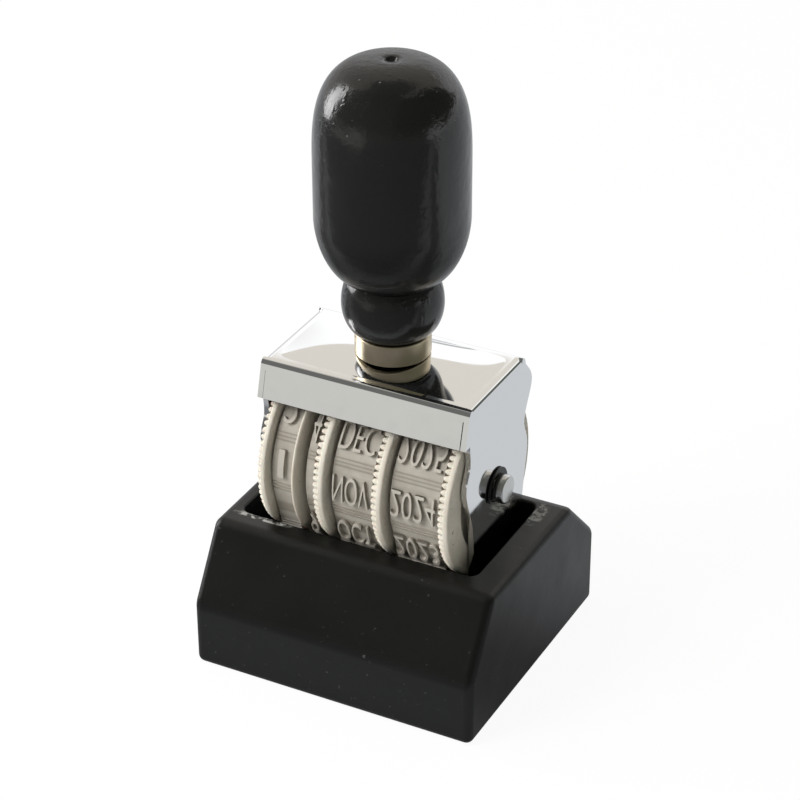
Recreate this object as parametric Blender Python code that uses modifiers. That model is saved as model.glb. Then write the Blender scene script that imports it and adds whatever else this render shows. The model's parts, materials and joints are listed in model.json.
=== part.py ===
"""Manual band date stamp standing in its wooden holder.

The stamp is a chromed sheet frame with four toothed thumb wheels on one axle. Each wheel drives a
rubber type band, which runs over the wheel's drum and round a platen between the feet of the cheeks.
A turned wooden handle stands on the frame in a metal ferrule. Metres, +Z up, front towards -Y. The
origin is the centre of the holder's underside.
"""

import math

import bmesh
import bpy
from mathutils import Matrix, Vector

# Holder: a wooden block with sloped shoulders and a pocket for the stamp's foot
BLOCK_LENGTH = 0.0450
BLOCK_DEPTH = 0.0420
BLOCK_HEIGHT = 0.0213
BLOCK_FRONT_WALL_HEIGHT = 0.0105
BLOCK_BACK_WALL_HEIGHT = 0.0125
BLOCK_FRONT_TOP_REACH = 0.0143
BLOCK_BACK_TOP_REACH = 0.0122
BLOCK_EDGE_ROUND = 0.0012
POCKET_END_WALL = 0.0035
POCKET_SIDE_WALL = 0.0104
POCKET_FLOOR_THICKNESS = 0.0060
POCKET_SHIFT = -0.0011
POCKET_CORNER_RADIUS = 0.0014

# Frame: a hood with two short aprons and two wavy cheeks, all of one bent sheet
SHEET = 0.0008
HOOD_END_PLAY = 0.0051
APRON_SIDE_PLAY = 0.0008
APRON_FLARE = 0.0015
HOOD_OVER_TEETH = 0.0035
CROWN_RISE = 0.0010
CROWN_MARGIN = 0.0002
HOOD_BEND_RADIUS = 0.0011
APRON_HEIGHT = 0.0056
APRON_SLIT = 0.0003
SLIT_TOP_MARGIN = 0.0005
STAMP_SHIFT = -0.00045
FRONT_SHOULDER_TUCK = 0.0012
FRONT_SHOULDER_DROP = 0.0020
FRONT_EAR_TUCK = 0.0001
FRONT_EAR_DROP = 0.0057
FRONT_WAIST_TUCK = 0.0017
FRONT_WAIST_DROP = 0.0091
FRONT_HIP_TUCK = 0.0005
FRONT_HIP_DROP = 0.0130
FRONT_LEG_TUCK = 0.0027
FRONT_LEG_DROP = 0.0201
FRONT_FOOT_TUCK = 0.0032
BACK_SHOULDER_TUCK = 0.0003
BACK_SHOULDER_DROP = 0.0019
BACK_EAR_TUCK = -0.0011
BACK_EAR_DROP = 0.0050
BACK_WAIST_TUCK = 0.0012
BACK_WAIST_DROP = 0.0105
BACK_HIP_TUCK = 0.0000
BACK_HIP_DROP = 0.0151
BACK_LEG_TUCK = 0.0012
BACK_LEG_DROP = 0.0222
BACK_FOOT_TUCK = 0.0022
FOOT_LIFT = 0.0032
FOOT_ROUND = 0.0016
OUTLINE_STEPS = 4

# Axle with a retaining clip in a groove beside each cheek
AXLE_RISE_SHARE = 0.401
AXLE_RADIUS = 0.00215
AXLE_OVERHANG = 0.0026
AXLE_CHAMFER = 0.0003
AXLE_CLEARANCE = 0.00015
GROOVE_OFFSET = 0.0010
GROOVE_WIDTH = 0.0007
GROOVE_RADIUS = 0.0016
CLIP_THICKNESS = 0.0005
CLIP_RADIUS = 0.0031
CLIP_GRIP_RADIUS = 0.0017
CLIP_RELIEF_RADIUS = 0.0022
CLIP_MOUTH_DEG = 96.0
CLIP_TURN_DEG = 255.0

# Thumb wheels: a toothed rim beside a drum that carries the band
RIM_SIDE_GAP = 0.00037
RIM_EDGE_ROUND = 0.0007
FLANGE_ROUND = 0.0004
TOOTH_PROUD = 0.0001
TOOTH_DEPTH = 0.0008
TOOTH_COUNT = 40
TOOTH_LAND_SHARE = 0.22
TOOTH_WIDTH = 0.0008
DRUM_STEP = 0.0029
HUB_RADIUS = 0.0042
DISH_LIP = 0.0012
DISH_DEPTH = 0.0009
RIM_WIDTH = 0.0020
TENS_RIM_WIDTH = 0.0016
FLANGE_WIDTH = 0.0013
WHEEL_GAP = 0.0003
TENS_DRUM_SHARE = 0.1857
UNITS_DRUM_SHARE = 0.0905
MONTH_DRUM_SHARE = 0.3333
RIM_PLAY = 0.00025

# Rubber bands, and the platen that they turn round at the foot
BAND_THICKNESS = 0.0010
BAND_SIDE_GAP = 0.0003
SEAT_GAP = 0.0003
TYPE_RELIEF = 0.0006
FLOOR_GAP = 0.0003
PLATEN_HALF_DEPTH = 0.0046
PLATEN_CORNER_RADIUS = 0.0018
PLATEN_HEIGHT = 0.0052
PLATEN_TOP_CHAMFER = 0.0012
PLATEN_END_GAP = 0.0003
RIVET_RADIUS = 0.0010
RIVET_HEAD_RADIUS = 0.0018
RIVET_HEAD_HEIGHT = 0.0007
RIVET_CROWN_SHARE = 0.6
RIVET_SIDE_SHARE = 0.4
RIVET_DEPTH = 0.0030
RIVET_CLEARANCE = 0.00015
RIVET_HEAD_GAP = 0.0003

# Handle: turned wood on a metal ferrule, held by one screw from inside the hood
HANDLE_SHIFT = -0.00045
FERRULE_RADIUS = 0.00545
FERRULE_WALL = 0.0006
FERRULE_HEIGHT = 0.0033
FERRULE_EDGE_ROUND = 0.0003
STAND_GAP = 0.0003
TENON_GAP = 0.0003
BEAD_BOTTOM_RADIUS = 0.0053
BEAD_RADIUS = 0.0073
BEAD_HEIGHT = 0.0087
NECK_RADIUS = 0.0061
HANDLE_RADIUS = 0.0111
HANDLE_SHOULDER_HEIGHT = 0.0093
HANDLE_DOME_HEIGHT = 0.0150
HANDLE_REACH = 0.0455
SHOULDER_SQUARENESS_SHARE = 1.8
DOME_SQUARENESS_SHARE = 3.2
BEAD_FULLNESS_SHARE = 0.7
BEAD_STEP_SHARES = (0.95, 0.88, 0.78, 0.65, 0.5, 0.35, 0.22, 0.12, 0.04, 0.0)
CENTRE_MARK_RADIUS = 0.0009
CENTRE_MARK_DEPTH = 0.0007
CENTRE_MARK_FLAT_SHARE = 0.5
SCREW_RADIUS = 0.0019
SCREW_HEAD_RADIUS = 0.0034
SCREW_HEAD_HEIGHT = 0.0010
SCREW_BITE = 0.0150
SCREW_CLEARANCE = 0.0002
SCREW_SLOT_WIDTH = 0.0008
SCREW_SLOT_DEPTH = 0.0005
SCREW_WASHER_RADIUS = 0.0042
SCREW_WASHER_THICKNESS = 0.0005
SCREW_SEAT_GAP = 0.0003
SCREW_TIP_SHARE = 0.5

# Building values that no piece takes its size from
OVERRUN = 0.0020
TURN_STEPS = 32
SMALL_TURN_STEPS = 20
RIVET_STEPS = 14
HOLE_STEPS = 24
MERGE = 0.00001
FLAT_ANGLE = 0.001
TOOTH_SINK = 0.0005
CROWN_LAP = 0.00005
CROWN_STEPS_X = 11
CROWN_STEPS_Y = 8
TOOTH_LAP = 0.0001

# Sizes and places worked out from those above
POCKET_LENGTH = BLOCK_LENGTH - 2 * POCKET_END_WALL
POCKET_DEPTH = BLOCK_DEPTH - 2 * POCKET_SIDE_WALL
POCKET_FLOOR_Z = POCKET_FLOOR_THICKNESS
AXLE_RISE = POCKET_DEPTH * AXLE_RISE_SHARE
AXLE_Z = BLOCK_HEIGHT + AXLE_RISE
RIM_RADIUS = math.hypot(POCKET_DEPTH / 2 - RIM_SIDE_GAP, AXLE_RISE)
TOOTH_TIP_RADIUS = RIM_RADIUS + TOOTH_PROUD
TOOTH_ROOT_RADIUS = TOOTH_TIP_RADIUS - TOOTH_DEPTH
DRUM_RADIUS = RIM_RADIUS - DRUM_STEP
DISH_RADIUS = DRUM_RADIUS - DISH_LIP
HOOD_LENGTH = POCKET_LENGTH - HOOD_END_PLAY
APRON_FOOT_DEPTH = POCKET_DEPTH - APRON_SIDE_PLAY
HOOD_TOP_DEPTH = APRON_FOOT_DEPTH - 2 * APRON_FLARE
HOOD_TOP = AXLE_Z + TOOTH_TIP_RADIUS + HOOD_OVER_TEETH
HOOD_UNDERSIDE_Z = HOOD_TOP - SHEET
CROWN_REACH_X = HOOD_LENGTH / 2 - HOOD_BEND_RADIUS - CROWN_MARGIN
CROWN_REACH_Y = HOOD_TOP_DEPTH / 2 - HOOD_BEND_RADIUS - CROWN_MARGIN
CHEEK_OUTER_X = HOOD_LENGTH / 2
CHEEK_INNER_X = CHEEK_OUTER_X - SHEET
FOOT_Z = POCKET_FLOOR_Z + FOOT_LIFT
RIMS_WIDTH = TENS_RIM_WIDTH + FLANGE_WIDTH + 3 * RIM_WIDTH + 3 * WHEEL_GAP
DRUMS_WIDTH = 2 * (CHEEK_INNER_X - RIM_PLAY) - RIMS_WIDTH
BAND_BOTTOM_Z = POCKET_FLOOR_Z + FLOOR_GAP + TYPE_RELIEF
PLATEN_BOTTOM_Z = BAND_BOTTOM_Z + BAND_THICKNESS + SEAT_GAP
FERRULE_BOTTOM_Z = HOOD_TOP + CROWN_RISE + STAND_GAP
FERRULE_TOP_Z = FERRULE_BOTTOM_Z + FERRULE_HEIGHT
HANDLE_TOP = HOOD_TOP + HANDLE_REACH

WORLD_X_FROM_LOCAL_Z = Matrix(((0, 0, 1, 0), (1, 0, 0, 0), (0, 1, 0, 0), (0, 0, 0, 1)))


def clear_scene():
    for old in list(bpy.data.objects):
        bpy.data.objects.remove(old, do_unlink=True)


def collection(name):
    made = bpy.data.collections.new(name)
    bpy.context.scene.collection.children.link(made)
    return made


def material(name, colour, roughness, metallic=0.0):
    made = bpy.data.materials.new(name)
    made.use_nodes = True
    shader = made.node_tree.nodes["Principled BSDF"]
    shader.inputs["Base Color"].default_value = (*colour, 1.0)
    shader.inputs["Roughness"].default_value = roughness
    shader.inputs["Metallic"].default_value = metallic
    return made


clear_scene()
PARTS = collection("date_stamp")
CUTTERS = collection("cutters")
BLOCK_PAINT = material("black_satin_paint", (0.016, 0.016, 0.016), 0.42)
LACQUER = material("black_lacquer", (0.012, 0.012, 0.012), 0.16)
CHROME = material("chrome", (0.86, 0.87, 0.88), 0.06, 1.0)
NICKEL = material("warm_nickel", (0.62, 0.54, 0.42), 0.2, 1.0)
STEEL = material("bright_steel", (0.7, 0.7, 0.7), 0.25, 1.0)
BLACK_STEEL = material("black_spring_steel", (0.02, 0.02, 0.02), 0.4, 1.0)
IVORY = material("ivory_plastic", (0.62, 0.59, 0.5), 0.5)
RUBBER = material("grey_rubber", (0.42, 0.39, 0.35), 0.7)


def keep(obj, mat):
    """Makes obj one of the product's pieces, in its material."""
    PARTS.objects.link(obj)
    obj.data.materials.clear()
    obj.data.materials.append(mat)
    return obj


def tool(obj):
    """Makes obj a shape that only cuts or joins another."""
    CUTTERS.objects.link(obj)
    obj.hide_render = True
    obj.display_type = "WIRE"
    return obj


def smooth(obj, angle_deg=40.0):
    obj.data.shade_smooth()
    obj.data.set_sharp_from_angle(angle=math.radians(angle_deg))
    return obj


def arc(centre, radius, from_deg, to_deg, steps):
    """Points along an arc in a plane, both ends included."""
    angles = (math.radians(from_deg + (to_deg - from_deg) * i / steps) for i in range(steps + 1))
    return [(centre[0] + radius * math.cos(a), centre[1] + radius * math.sin(a)) for a in angles]


def ring(centre, radius, steps):
    """Points round a whole circle."""
    return arc(centre, radius, 0, 360, steps)[:-1]


def eased(points, steps):
    """A smooth curve through points, by Catmull and Rom's rule."""
    ends = [points[0], *points, points[-1]]
    out = []
    for a, b, c, d in zip(ends, ends[1:], ends[2:], ends[3:]):
        for i in range(steps):
            t = i / steps
            out.append(tuple(
                0.5 * (2 * q + (r - p) * t + (2 * p - 5 * q + 4 * r - s) * t * t
                       + (3 * q - p - 3 * r + s) * t ** 3)
                for p, q, r, s in zip(a, b, c, d)
            ))
    return [*out, points[-1]]


def plate(name, outlines, low, high, place=WORLD_X_FROM_LOCAL_Z):
    """A closed flat outline, with any holes, given thickness from low to high along its normal."""
    curve = bpy.data.curves.new(name, "CURVE")
    curve.dimensions = "2D"
    curve.fill_mode = "BOTH"
    curve.extrude = (high - low) / 2
    for outline in outlines:
        spline = curve.splines.new("POLY")
        spline.points.add(len(outline) - 1)
        for point, at in zip(spline.points, outline):
            point.co = (at[0], at[1], 0, 1)
        spline.use_cyclic_u = True
    drawn = bpy.data.objects.new(name, curve)
    bpy.context.scene.collection.objects.link(drawn)
    bpy.context.view_layer.update()
    mesh = bpy.data.meshes.new_from_object(drawn.evaluated_get(bpy.context.evaluated_depsgraph_get()))
    bpy.data.objects.remove(drawn)
    shape = bmesh.new()
    shape.from_mesh(mesh)
    bmesh.ops.remove_doubles(shape, verts=shape.verts, dist=MERGE)
    bmesh.ops.translate(shape, verts=shape.verts, vec=(0, 0, (high + low) / 2))
    bmesh.ops.transform(shape, verts=shape.verts, matrix=place)
    bmesh.ops.recalc_face_normals(shape, faces=shape.faces)
    bmesh.ops.dissolve_limit(shape, angle_limit=FLAT_ANGLE, verts=shape.verts, edges=shape.edges)
    shape.to_mesh(mesh)
    shape.free()
    mesh.materials.clear()
    return bpy.data.objects.new(name, mesh)


def turned(name, profile, steps=TURN_STEPS, place=Matrix.Identity(4), closed=True):
    """A profile of (radius, height) points turned about its axis. It runs down the outer side."""
    mesh = bpy.data.meshes.new(name)
    edges = [(i, i + 1) for i in range(len(profile) - 1)] + [(len(profile) - 1, 0)] * closed
    mesh.from_pydata([(r, 0, z) for r, z in profile], edges, [])
    obj = bpy.data.objects.new(name, mesh)
    screw = obj.modifiers.new("Turn", "SCREW")
    screw.steps = screw.render_steps = steps
    screw.use_merge_vertices = True
    screw.merge_threshold = MERGE
    screw.use_smooth_shade = True
    obj.matrix_world = place
    return obj


def box(name, low, high):
    made = bmesh.new()
    bmesh.ops.create_cube(made, size=1)
    size = Vector(high) - Vector(low)
    bmesh.ops.scale(made, verts=made.verts, vec=size)
    bmesh.ops.translate(made, verts=made.verts, vec=(Vector(high) + Vector(low)) / 2)
    mesh = bpy.data.meshes.new(name)
    made.to_mesh(mesh)
    made.free()
    return bpy.data.objects.new(name, mesh)


def boolean(target, other, operation):
    cut = target.modifiers.new(operation.title(), "BOOLEAN")
    cut.operation = operation
    cut.solver = "EXACT"
    cut.object = other
    return target


def bevel(obj, width, segments, angle_deg=30.0):
    rounding = obj.modifiers.new("Round", "BEVEL")
    rounding.width = width
    rounding.segments = segments
    rounding.limit_method = "ANGLE"
    rounding.angle_limit = math.radians(angle_deg)
    return obj


def along_x(x, y=0, z=0):
    """Places a shape turned about local Z so that it turns about a line along X."""
    return Matrix.Translation((x, y, z)) @ WORLD_X_FROM_LOCAL_Z


def rounded_rectangle(half_x, half_y, radius, steps=4):
    corners = (
        (half_x - radius, half_y - radius, 0),
        (radius - half_x, half_y - radius, 90),
        (radius - half_x, radius - half_y, 180),
        (half_x - radius, radius - half_y, 270),
    )
    return [p for x, y, turn in corners for p in arc((x, y), radius, turn, turn + 90, steps)]


def holder():
    """The wooden block: sloped shoulders front and back, and a round-cornered pocket."""
    half = BLOCK_DEPTH / 2
    outline = [
        (-half, 0), (half, 0), (half, BLOCK_BACK_WALL_HEIGHT),
        (BLOCK_BACK_TOP_REACH, BLOCK_HEIGHT), (-BLOCK_FRONT_TOP_REACH, BLOCK_HEIGHT),
        (-half, BLOCK_FRONT_WALL_HEIGHT),
    ]
    block = keep(plate("holder_block", [outline], -BLOCK_LENGTH / 2, BLOCK_LENGTH / 2), BLOCK_PAINT)
    bevel(block, BLOCK_EDGE_ROUND, 3, angle_deg=15.0)
    pocket = tool(plate(
        "pocket",
        [rounded_rectangle(POCKET_LENGTH / 2, POCKET_DEPTH / 2, POCKET_CORNER_RADIUS)],
        POCKET_FLOOR_Z, BLOCK_HEIGHT + OVERRUN, Matrix.Translation((POCKET_SHIFT, 0, 0)),
    ))
    return smooth(boolean(block, pocket, "DIFFERENCE"))


def cheek_edge(foot, leg, hip, waist, ear, shoulder):
    """One edge of a cheek from its foot up, through the reach and height of each swell and neck."""
    reach = foot[0]
    toe = arc((reach - FOOT_ROUND, FOOT_Z + FOOT_ROUND), FOOT_ROUND, -90, 0, 4)[:-1]
    lower = [(reach, FOOT_Z + FOOT_ROUND), (reach, (FOOT_Z + leg[1]) / 2)]
    edge = eased([*lower, leg, hip, waist, ear, shoulder], OUTLINE_STEPS)
    return [*toe, *edge, (HOOD_TOP_DEPTH / 2 - SHEET, HOOD_TOP - HOOD_BEND_RADIUS)]


def cheek_outline():
    """The back edge up and the front edge down, whose swells lie at different heights."""
    back = (
        (BACK_FOOT_TUCK, HOOD_TOP - FOOT_Z), (BACK_LEG_TUCK, BACK_LEG_DROP), (BACK_HIP_TUCK, BACK_HIP_DROP),
        (BACK_WAIST_TUCK, BACK_WAIST_DROP), (BACK_EAR_TUCK, BACK_EAR_DROP),
        (BACK_SHOULDER_TUCK, BACK_SHOULDER_DROP),
    )
    front = (
        (FRONT_FOOT_TUCK, HOOD_TOP - FOOT_Z), (FRONT_LEG_TUCK, FRONT_LEG_DROP),
        (FRONT_HIP_TUCK, FRONT_HIP_DROP), (FRONT_WAIST_TUCK, FRONT_WAIST_DROP),
        (FRONT_EAR_TUCK, FRONT_EAR_DROP), (FRONT_SHOULDER_TUCK, FRONT_SHOULDER_DROP),
    )
    half = APRON_FOOT_DEPTH / 2
    edges = [cheek_edge(*((half - tuck, HOOD_TOP - drop) for tuck, drop in side)) for side in (back, front)]
    return [*edges[0], *[(-y, z) for y, z in reversed(edges[1])]]


def hood_section(inset, foot_z):
    """The hood's section in Y and Z: a flat top and two aprons that flare out to their lower edges."""
    top_z = HOOD_TOP - inset
    flare = (APRON_FOOT_DEPTH - HOOD_TOP_DEPTH) / 2 / APRON_HEIGHT
    top_y = HOOD_TOP_DEPTH / 2 - inset
    foot_y = top_y + flare * (top_z - foot_z)
    lean = math.degrees(math.atan(flare))
    radius = HOOD_BEND_RADIUS if inset == 0 else HOOD_BEND_RADIUS - SHEET
    reach = radius * math.tan(math.radians((90 - lean) / 2))
    bend = arc((top_y - reach, top_z - radius), radius, 90, lean, 4)
    back = [(foot_y, foot_z), *reversed(bend)]
    return [*back, *[(-y, z) for y, z in reversed(back)]]


def crown_swell(x, y):
    """How high the pillow in the hood's top stands at x and y from its middle."""
    return CROWN_RISE * (1 - (x / CROWN_REACH_X) ** 2) * (1 - (y / CROWN_REACH_Y) ** 4)


def crown(name, foot_z, inset):
    """The low pillow that is pressed up in the hood's top, as a closed solid down to foot_z."""
    made = bmesh.new()
    bmesh.ops.create_grid(made, x_segments=CROWN_STEPS_X, y_segments=CROWN_STEPS_Y, size=1)
    for v in made.verts:
        x, y = v.co.x * CROWN_REACH_X, v.co.y * CROWN_REACH_Y
        v.co = (x + STAMP_SHIFT, y, HOOD_TOP - inset + crown_swell(x, y))
    foot = bmesh.ops.extrude_face_region(made, geom=made.faces[:])
    for v in foot["geom"]:
        if isinstance(v, bmesh.types.BMVert):
            v.co.z = foot_z
    bmesh.ops.recalc_face_normals(made, faces=made.faces)
    mesh = bpy.data.meshes.new(name)
    made.to_mesh(mesh)
    made.free()
    return tool(bpy.data.objects.new(name, mesh))


def frame():
    """The hood, its front and back aprons and both cheeks, as one bent sheet."""
    apron_z = HOOD_TOP - APRON_HEIGHT
    left, right = STAMP_SHIFT - CHEEK_OUTER_X, STAMP_SHIFT + CHEEK_OUTER_X
    hood = keep(plate("frame", [hood_section(0, apron_z)], left, right), CHROME)
    shape = bmesh.new()
    shape.from_mesh(hood.data)
    end_edges = [
        e for e in shape.edges
        if all(v.co.z > HOOD_TOP - MERGE for v in e.verts) and abs(e.verts[0].co.x - e.verts[1].co.x) < MERGE
    ]
    bmesh.ops.bevel(
        shape, geom=end_edges, offset=HOOD_BEND_RADIUS, offset_type="OFFSET",
        segments=4, profile=0.5, affect="EDGES",
    )
    shape.to_mesh(hood.data)
    shape.free()
    inside = tool(plate(
        "hood_inside", [hood_section(SHEET, apron_z - OVERRUN)], left + SHEET, right - SHEET,
    ))
    boolean(hood, crown("crown", HOOD_TOP - SHEET / 2, CROWN_LAP), "UNION")
    boolean(hood, inside, "DIFFERENCE")
    boolean(hood, crown("crown_hollow", HOOD_TOP - HOOD_BEND_RADIUS, SHEET + CROWN_LAP), "DIFFERENCE")
    for side in (-1, 1):
        outer = side * CHEEK_OUTER_X + STAMP_SHIFT
        inner = side * CHEEK_INNER_X + STAMP_SHIFT
        cheek = tool(plate(f"cheek_{side}", [cheek_outline()], min(inner, outer), max(inner, outer)))
        boolean(hood, cheek, "UNION")
    for side in (-1, 1):
        inner = side * CHEEK_INNER_X + STAMP_SHIFT
        beside = inner - side * APRON_SLIT
        for face in (-1, 1):
            front = sorted((face * (APRON_FOOT_DEPTH / 2 + OVERRUN), face * HOOD_TOP_DEPTH / 4))
            slit = tool(box(
                f"apron_slit_{side}_{face}",
                (min(inner, beside), front[0], apron_z - OVERRUN),
                (max(inner, beside), front[1], HOOD_TOP - HOOD_BEND_RADIUS - SLIT_TOP_MARGIN),
            ))
            boolean(hood, slit, "DIFFERENCE")
    axle_hole = tool(plate(
        "axle_hole", [ring((0, AXLE_Z), AXLE_RADIUS + AXLE_CLEARANCE, HOLE_STEPS)],
        -HOOD_LENGTH, HOOD_LENGTH,
    ))
    boolean(hood, axle_hole, "DIFFERENCE")
    rivet_hole = tool(plate(
        "rivet_hole", [ring((0, rivet_z()), RIVET_RADIUS + RIVET_CLEARANCE, RIVET_STEPS)],
        -HOOD_LENGTH, HOOD_LENGTH,
    ))
    boolean(hood, rivet_hole, "DIFFERENCE")
    screw_hole = tool(plate(
        "screw_hole", [ring((0, 0), SCREW_RADIUS + SCREW_CLEARANCE, HOLE_STEPS)],
        HOOD_UNDERSIDE_Z - OVERRUN, FERRULE_BOTTOM_Z + OVERRUN, Matrix.Translation((HANDLE_SHIFT, 0, 0)),
    ))
    boolean(hood, screw_hole, "DIFFERENCE")
    return smooth(hood)


def rivet_z():
    return PLATEN_BOTTOM_Z + PLATEN_HEIGHT / 2


def axle():
    """The rod through both cheeks, with a groove for a clip outside each."""
    end = CHEEK_OUTER_X + AXLE_OVERHANG
    groove = CHEEK_OUTER_X + GROOVE_OFFSET
    side = [
        (AXLE_RADIUS - AXLE_CHAMFER, end),
        (AXLE_RADIUS, end - AXLE_CHAMFER),
        (AXLE_RADIUS, groove + GROOVE_WIDTH),
        (GROOVE_RADIUS, groove + GROOVE_WIDTH),
        (GROOVE_RADIUS, groove),
        (AXLE_RADIUS, groove),
    ]
    profile = [(0, end), *side, *[(r, -z) for r, z in reversed(side)], (0, -end)]
    rod = turned("axle", profile, SMALL_TURN_STEPS, along_x(STAMP_SHIFT, 0, AXLE_Z), closed=False)
    return keep(rod, STEEL)


def clip_outline():
    """A retaining clip: a round outside, three inner lobes that grip the groove, and a mouth below."""
    half_mouth = CLIP_MOUTH_DEG / 2
    outside = arc((0, 0), CLIP_RADIUS, half_mouth, 360 - half_mouth, 20)
    gap = (360 - CLIP_MOUTH_DEG) / 5
    inside = []
    for i in range(5):
        start = 360 - half_mouth - i * gap
        radius = CLIP_RELIEF_RADIUS if i % 2 else CLIP_GRIP_RADIUS
        inside += arc((0, 0), radius, start, start - gap, 3)
    turn = Matrix.Rotation(math.radians(CLIP_TURN_DEG), 2)
    return [tuple(turn @ Vector(p)) for p in (*outside, *inside)]


def axle_clips():
    for name, side in (("axle_clip_left", -1), ("axle_clip_right", 1)):
        middle = side * (CHEEK_OUTER_X + GROOVE_OFFSET + GROOVE_WIDTH / 2) + STAMP_SHIFT
        lift = Matrix.Translation((0, 0, AXLE_Z)) @ WORLD_X_FROM_LOCAL_Z
        clip = plate(name, [clip_outline()], middle - CLIP_THICKNESS / 2, middle + CLIP_THICKNESS / 2, lift)
        keep(clip, BLACK_STEEL)


def ring_profile(inner, outer, low, high):
    return [(outer, high), (outer, low), (inner, low), (inner, high)]


def wheel_layout():
    """Where each wheel starts and ends along X, counted from the left cheek to the right one."""
    at = STAMP_SHIFT - CHEEK_INNER_X + RIM_PLAY
    right_end = STAMP_SHIFT + CHEEK_INNER_X - RIM_PLAY
    drum = DRUMS_WIDTH * TENS_DRUM_SHARE
    places = {"tens": (at, at + TENS_RIM_WIDTH, at + TENS_RIM_WIDTH + drum)}
    at += TENS_RIM_WIDTH + drum + FLANGE_WIDTH + WHEEL_GAP
    for name, share in (("units", UNITS_DRUM_SHARE), ("month", MONTH_DRUM_SHARE)):
        drum = DRUMS_WIDTH * share
        places[name] = (at, at + drum, at + drum + RIM_WIDTH)
        at += drum + RIM_WIDTH + WHEEL_GAP
    places["year"] = (at, right_end - RIM_WIDTH, right_end)
    return places


def tooth_outline():
    """The outline of the knurled edge: pointed teeth with a narrow land."""
    pitch = 360 / TOOTH_COUNT
    land = pitch * TOOTH_LAND_SHARE
    points = []
    for i in range(TOOTH_COUNT):
        for offset, radius in ((-land / 2, TOOTH_TIP_RADIUS), (land / 2, TOOTH_TIP_RADIUS),
                               (pitch / 2, TOOTH_ROOT_RADIUS)):
            a = math.radians(i * pitch + offset)
            points.append((radius * math.cos(a), radius * math.sin(a)))
    return points


def rim_side(rim_low, rim_high):
    """The rim's outer side from its smooth rounded edge down to the seat of the knurled edge."""
    crown = arc((RIM_RADIUS - RIM_EDGE_ROUND, rim_high - RIM_EDGE_ROUND), RIM_EDGE_ROUND, 90, 0, 3)
    return [*crown, (RIM_RADIUS, rim_low + TOOTH_WIDTH), (TOOTH_ROOT_RADIUS, rim_low + TOOTH_WIDTH),
            (TOOTH_ROOT_RADIUS, rim_low)]


def dished_face(at, inwards):
    """The points of an end face with a hub and a shallow dish, from the bore out."""
    return [
        (AXLE_RADIUS + AXLE_CLEARANCE, at),
        (HUB_RADIUS, at),
        (HUB_RADIUS, at + inwards * DISH_DEPTH),
        (DISH_RADIUS, at + inwards * DISH_DEPTH),
        (DISH_RADIUS, at),
    ]


def wheel(name, profile, rim_low):
    body = turned(name, profile, TURN_STEPS, along_x(0, 0, AXLE_Z))
    seat = TOOTH_ROOT_RADIUS - TOOTH_SINK
    bore = list(reversed(ring((0, 0), seat, TURN_STEPS)))
    teeth = tool(plate(
        f"{name}_teeth", [tooth_outline(), bore],
        rim_low - TOOTH_LAP, rim_low + TOOTH_WIDTH + TOOTH_LAP,
        Matrix.Translation((0, 0, AXLE_Z)) @ WORLD_X_FROM_LOCAL_Z,
    ))
    return keep(boolean(body, teeth, "UNION"), IVORY)


def thumb_wheels():
    places = wheel_layout()
    rim_low, drum_low, drum_high = places["tens"]
    flange_high = drum_high + FLANGE_WIDTH
    profile = [
        *arc((RIM_RADIUS - FLANGE_ROUND, flange_high - FLANGE_ROUND), FLANGE_ROUND, 90, 0, 3),
        *arc((RIM_RADIUS - FLANGE_ROUND, drum_high + FLANGE_ROUND), FLANGE_ROUND, 0, -90, 3),
        (DRUM_RADIUS, drum_high), (DRUM_RADIUS, drum_low),
        *arc((RIM_RADIUS - RIM_EDGE_ROUND, drum_low - RIM_EDGE_ROUND), RIM_EDGE_ROUND, 90, 0, 3),
        (RIM_RADIUS, rim_low + TOOTH_WIDTH), (TOOTH_ROOT_RADIUS, rim_low + TOOTH_WIDTH),
        (TOOTH_ROOT_RADIUS, rim_low),
        *reversed(dished_face(rim_low, 1)),
        (AXLE_RADIUS + AXLE_CLEARANCE, flange_high),
    ]
    wheel("tens_wheel", profile, rim_low)
    for name in ("units", "month", "year"):
        drum_low, rim_low, rim_high = places[name]
        profile = [
            *rim_side(rim_low, rim_high),
            (DRUM_RADIUS, rim_low), (DRUM_RADIUS, drum_low),
            (AXLE_RADIUS + AXLE_CLEARANCE, drum_low),
            *dished_face(rim_high, -1),
        ]
        wheel(f"{name}_wheel", profile, rim_low)


def belt_loop(offset):
    """The closed path round the drum and the platen's two corners, offset outwards from both."""
    corner_y = PLATEN_HALF_DEPTH - PLATEN_CORNER_RADIUS
    corner_z = PLATEN_BOTTOM_Z + PLATEN_CORNER_RADIUS
    drop = AXLE_Z - corner_z
    reach = math.hypot(corner_y, drop)
    lean = math.degrees(math.atan2(drop, corner_y) - math.acos((DRUM_RADIUS - PLATEN_CORNER_RADIUS) / reach))
    over = arc((0, AXLE_Z), DRUM_RADIUS + offset, -lean, 180 + lean, 30)
    left = arc((-corner_y, corner_z), PLATEN_CORNER_RADIUS + offset, 180 + lean, 270, 5)
    right = arc((corner_y, corner_z), PLATEN_CORNER_RADIUS + offset, 270, 360 - lean, 5)
    return [*over, *left, *right]


def type_bands():
    """One rubber loop for each wheel, between its rim and the next."""
    places = wheel_layout()
    spans = {
        "tens": (places["tens"][1], places["tens"][2]),
        "units": (places["units"][0], places["units"][1]),
        "month": (places["month"][0], places["month"][1]),
        "year": (places["year"][0], places["year"][1]),
    }
    for name, (low, high) in spans.items():
        loops = [belt_loop(SEAT_GAP + BAND_THICKNESS), list(reversed(belt_loop(SEAT_GAP)))]
        band = plate(f"{name}_band", loops, low + BAND_SIDE_GAP, high - BAND_SIDE_GAP)
        smooth(keep(band, RUBBER))


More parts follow.
